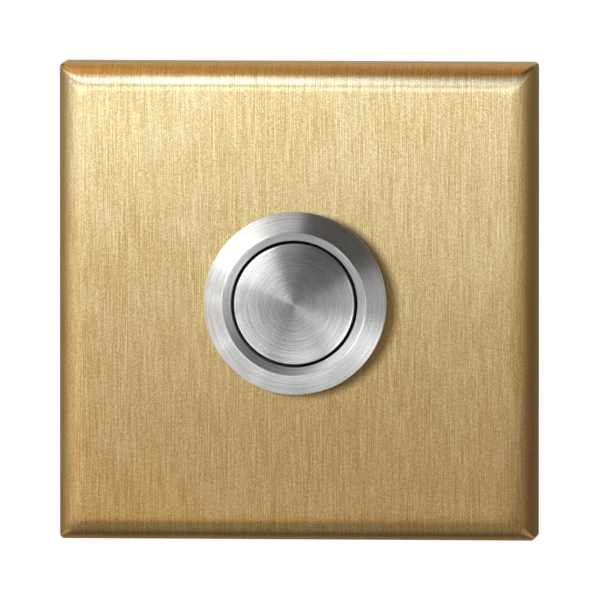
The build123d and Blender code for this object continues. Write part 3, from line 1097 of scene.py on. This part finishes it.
@dataclass
class Switch:
    """Springs, contacts, terminals and the moulded base behind the button."""

    travel: float = 1.5
    seat_y: float = -3.4
    spring_front_y: float = -7.68
    spring_rear_y: float = -3.42
    tip_radius: float = 1.0
    tip_x: float = 3.427
    tip_round: float = 0.14
    tip_crown: float = 0.04
    crown_at: float = 0.5
    crown_share: float = 0.2
    crown_round: float = 0.4
    tip_segments: int = 64
    bridge_tip: Pair = (4.85, 5.25)
    terminal_tip: Pair = (7.2, 6.8)

    def tips(self, seat_y: float, face_y: float) -> Surface:
        """A pair of rivet heads: a disc with a rounded face, slightly crowned.

        Args:
            seat_y: where the heads sit on their strip.
            face_y: where their faces are.

        Returns:
            Both heads in one surface.
        """
        radius = self.tip_radius
        sink = math.copysign(self.tip_crown, seat_y - face_y)
        corners = [
            (0, seat_y, 0), (radius, seat_y, 0), (radius, face_y + sink, self.tip_round),
            (self.crown_at * radius, face_y + self.crown_share * sink, self.crown_round), (0, face_y, 0),
        ]
        head = turned(rounded(corners, closed=False, steps=5), self.tip_segments)
        head.points = head.points + np.array([-self.tip_x, 0, 0])
        return head.with_copy_at((2 * self.tip_x, 0, 0))

    def build(self) -> None:
        """Builds the springs and contact tips, and dresses the strips, base, washers and screws."""
        spring = CoilSpring("return_spring", "return_spring_coil", Body.HOUSING, coil=9.4, wire=0.55,
                            turns=3.5, front_y=self.spring_front_y, rear_y=self.spring_rear_y).build()
        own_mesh(spring)
        CoilSpring("contact_spring", "contact_spring_coil", Body.PUSH, coil=3.0, wire=0.3,
                   turns=3.5, front_y=2.17, rear_y=4.33).build()
        settle(self.tips(*self.bridge_tip).as_object("bridge_tip_heads"), "bridge_tips", Body.PUSH,
               Finishes.contact_silver)
        settle(self.tips(*self.terminal_tip).as_object("terminal_tip_heads"), "terminal_tips",
               Body.HOUSING, Finishes.contact_silver)
        for strip in ("contact_bridge", "terminal_right", "terminal_left"):
            dress(strip, Finishes.strip_brass)
        dress("contact_base", Finishes.black_plastic)
        for fastener in ("clamp_washers", "terminal_screws"):
            dress(fastener, Finishes.nickel)


# Studio


def heading(azimuth: float, elevation: float) -> Vector:
    """Unit vector in degrees: azimuth 0 is the front, 90 the right."""
    a, e = math.radians(azimuth), math.radians(elevation)
    return Vector((math.sin(a) * math.cos(e), -math.cos(a) * math.cos(e), math.sin(e)))


class Lit(Enum):
    """Which pieces a lamp lights: the turned steel ones, all the others, or those behind the cover."""

    STEEL = ("INCLUDE", "button_bezel_turned", "button_cap_turned")
    OTHERS = ("EXCLUDE", "button_bezel_turned", "button_cap_turned")
    BEHIND = ("EXCLUDE", "button_bezel_turned", "button_cap_turned", "rose_cover_brushed")

    def receivers(self) -> bpy.types.Collection:
        """Collection that tells a lamp to light its pieces alone, or to leave them out.

        Returns:
            The collection.
        """
        state, *pieces = self.value
        group = bpy.data.collections.new("lit_" + self.name.lower())
        for piece in pieces:
            group.objects.link(bpy.data.objects[piece])
        for member in group.collection_objects:
            member.light_linking.link_state = state
        return group


@dataclass(frozen=True)
class Softbox:
    """A rectangular lamp near the object. Its level is the light that its face gives, 1 being white."""

    name: str
    place: Triple
    size: Pair
    level: Colour
    aim: Triple = (0.0, -8.0, 10.0)
    lit: Lit = Lit.OTHERS

    def source(self) -> bpy.types.Light:
        """The lamp's light.

        Returns:
            A flat light whose face gives a level of 1.
        """
        light = bpy.data.lights.new(self.name, "AREA")
        light.shape = "RECTANGLE"
        light.size, light.size_y = (side * MM for side in self.size)
        light.energy = math.pi * light.size * light.size_y
        return light

    def shines(self) -> Vector:
        """The way that its light goes."""
        return Vector(self.aim) - Vector(self.place)


@dataclass(frozen=True)
class Reflector:
    """A round card far from the object, as wide as its spread in degrees."""

    name: str
    azimuth: float
    elevation: float
    level: Colour
    lit: Lit
    spread: float
    place: Triple = (0.0, -300.0, 0.0)

    def source(self) -> bpy.types.Light:
        """The card's light.

        Returns:
            A far light whose disc gives a level of 1.
        """
        light = bpy.data.lights.new(self.name, "SUN")
        light.angle = math.radians(self.spread)
        light.energy = 2 * math.pi * (1 - math.cos(light.angle / 2))
        return light

    def shines(self) -> Vector:
        """The way that its light goes."""
        return -heading(self.azimuth, self.elevation)


def front_panel(name: str, x: Pair, z: Pair, level: Colour) -> Softbox:
    """A softbox that stands upright before the wall, at the panels' distance, and faces it.

    Args:
        name: the lamp's name.
        x: where it starts and ends from left to right.
        z: where it starts and ends from below.
        level: the light of its face.

    Returns:
        The softbox.
    """
    across, up = sum(x) / 2, sum(z) / 2
    size = (x[1] - x[0], z[1] - z[0])
    return Softbox(name, (across, PANEL_Y, up), size, level, aim=(across, 0.0, up))


def cards(group: str, lit: Lit, rows: tuple[Card, ...], spread: float = 38.0) -> list[Reflector]:
    """Cards of one group, from rows of azimuth, elevation and level, where one number is a white level."""
    rows = [(*way, level if isinstance(level, tuple) else (level,) * 3) for *way, level in rows]
    return [Reflector(f"{group}_card_{i}", *row, lit, spread) for i, row in enumerate(rows)]


@dataclass
class Studio:
    """A white backdrop, grey surroundings, soft lamps, a pale floor and the camera."""

    surroundings: Colour = (0.07, 0.07, 0.07)
    backdrop_share: float = 0.1
    backdrop_fade: float = 2.0
    softboxes: tuple[Softbox, ...] = (
        front_panel("upper_band", (-220, 140), (30, 60), (2.93, 3.57, 4.88)),
        front_panel("left_panel", (-175, -5), (0, 30), (2.25, 2.7, 3.42)),
        front_panel("low_left_panel", (-200, -70), (-60, 0), (1.2, 0.89, 0.52)),
        front_panel("low_front_panel", (-120, 0), (-130, -40), (1.1, 0.9, 0.74)),
        front_panel("low_band", (-150, 150), (-250, -100), (0.19, 0.115, 0.04)),
        front_panel("right_panel", (40, 200), (-25, 25), (0.78, 0.73, 0.5)),
        Softbox("right_strip", (130, -33, 45), (73, 50), (0.36, 0.33, 0.22)),
        Softbox("edge_strip", (-12, -36, 50), (24, 22), (2.5, 3.4, 7.0)),
        Softbox("overhead_band", (-65, -95, 95), (210, 30), (2.73, 3.26, 4.94)),
        Softbox("overhead_key", (-90, -60, 120), (70, 30), (0.3, 0.37, 0.67)),
        Softbox("top_lamp", (-50, -25, 115), (120, 30), (2.3, 1.7, 0.8)),
    )
    reflectors: tuple[Reflector, ...] = (
        *cards("brass", Lit.OTHERS, (
            (180, 45, (0.62, 0.5, 0.45)), (180, 75, (0.75, 0.48, 0.24)), (180, 15, (0.44, 0.33, 0.17)),
            (-84, 4, (0.64, 0.56, 0.5)), (80, 0, (0.18, 0.105, 0.03)))),
        *cards("rear", Lit.OTHERS, (
            (90, -40, 1.0), (-90, -40, 1.0), (140, -40, (0.28, 0.19, 0.1)),
            (180, -40, (0.16, 0.1, 0.05)), (-140, -40, (0.28, 0.19, 0.1)))),
        *cards("back", Lit.BEHIND, ((180, -20, 0.7), (145, 25, 0.7), (-145, 25, 0.7)), spread=60.0),
        *cards("steel", Lit.STEEL, (
            (-45, 30, 6.5), (45, -30, 4.2), (-45, -30, 2.2), (-45, 0, 1.8), (108, -72, 1.75),
            (-108, -72, 1.55), (0, -45, 1.35), (45, 0, 1.75), (-90, -15, 1.25), (-75, 15, 1.1),
            (-72, 72, 0.8), (-80, -45, 0.7), (-20, 45, 0.6), (-15, -30, 0.45), (15, -30, 0.4))),
    )
    floor_z: float = -350.0
    floor_half: float = 150.0
    floor_colour: Colour = (0.85, 0.85, 0.85)
    floor_white: float = 0.9
    azimuth: float = 4.6
    elevation: float = 3.6
    distance: float = 3000.0
    lens: float = 1714.0
    sensor: float = 36.0
    clip_m: Pair = (0.01, 20.0)
    aim: Triple = (-0.17, 0.0, -0.18)

    def backdrop(self, pad: NodePad, direction: Socket) -> Socket:
        """How much of the white backdrop a ray sees.

        The camera sees all of it. Metal sees a share s of it behind the object, which fades with f to
        s exp(f (d . b - 1)) in direction d, where b points straight back.

        Args:
            pad: the world's nodes.
            direction: the direction d.

        Returns:
            The share, from 0 to 1.
        """
        facing = pad.math("SUBTRACT", pad.along(direction, tuple(heading(180, 0))), 1.0)
        fade = pad.math("EXPONENT", pad.math("MULTIPLY", facing, self.backdrop_fade))
        path = pad.add("LightPath").outputs
        mirrored = pad.math("MAXIMUM", path["Is Glossy Ray"], path["Is Transmission Ray"])
        dimmed = pad.math("MULTIPLY", mirrored, pad.math("MULTIPLY", fade, self.backdrop_share))
        return pad.math("MAXIMUM", path["Is Camera Ray"], dimmed)

    def light(self) -> None:
        """Makes the world and hangs the lamps.

        The camera sees a white backdrop, the metal a dimmer one, and the rest is grey surroundings.
        """
        world = bpy.data.worlds.new("studio")
        bpy.context.scene.world = world
        pad = NodePad(world)
        share = self.backdrop(pad, pad.add("TexCoord").outputs["Generated"])
        background = pad.add("Background")
        pad.feed(background.inputs[0], pad.mixed(share, self.surroundings, (1.0, 1.0, 1.0)))
        pad.feed(pad.add("OutputWorld").inputs[0], background.outputs[0])
        receivers = {lit: lit.receivers() for lit in Lit}
        for lamp in (*self.softboxes, *self.reflectors):
            self.hang(lamp, receivers[lamp.lit])

    def hang(self, lamp: Softbox | Reflector, receivers: bpy.types.Collection) -> None:
        """Hangs one lamp.

        Args:
            lamp: the lamp, in millimetres.
            receivers: what it lights.
        """
        light = lamp.source()
        strength = max(lamp.level)
        light.energy *= strength
        light.color = [value / strength for value in lamp.level]
        holder = link(lamp.name, light)
        holder.location = Vector(lamp.place) * MM
        holder.rotation_euler = lamp.shines().to_track_quat("-Z", "Y").to_euler()
        holder.visible_camera = False
        holder.light_linking.receiver_collection = receivers

    def floor(self) -> None:
        """Lays a plain pale floor well below the object."""
        corners = self.floor_half * np.array([(-1, -1), (1, -1), (1, 1), (-1, 1)], float)
        points = np.column_stack([corners, np.full(4, self.floor_z)])
        floor = Surface(points, np.array([[0, 1, 2, 3]])).as_object("floor")
        material = bpy.data.materials.new("pale_floor")
        pad = NodePad(material)
        matt = pad.add("BsdfDiffuse")
        pad.feed(matt.inputs["Color"], (*self.floor_colour, 1.0))
        bright = pad.add("Emission")
        seen = pad.add("LightPath").outputs["Is Camera Ray"]
        share = pad.math("MULTIPLY", seen, self.floor_white)
        surface = pad.result("MixShader", share, matt.outputs[0], bright.outputs[0])
        pad.feed(pad.add("OutputMaterial").inputs[0], surface)
        floor.data.materials.append(material)
        floor.visible_glossy = False

    def camera(self) -> None:
        """Places the camera to the right of the front and a little above it."""
        data = bpy.data.cameras.new("camera")
        data.lens = self.lens
        data.sensor_width = self.sensor
        data.clip_start, data.clip_end = self.clip_m
        holder = link("camera", data)
        back = heading(self.azimuth, self.elevation)
        holder.location = (Vector(self.aim) + back * self.distance) * MM
        holder.rotation_euler = (-back).to_track_quat("-Z", "Y").to_euler()
        bpy.context.scene.camera = holder

    def build(self) -> None:
        """Sets the light, floor and camera, and plain view settings."""
        self.light()
        self.floor()
        self.camera()
        bpy.context.scene.view_settings.view_transform = "Standard"


def main() -> None:
    """Builds each sub-assembly in order, then the studio."""
    logging.basicConfig(level=logging.INFO, format="%(message)s")
    for part in (Rose(), Bezel(), PushCap(), Switch(), Studio()):
        part.build()
        LOG.info("%s done", type(part).__name__)


if __name__ == "__main__":
    main()
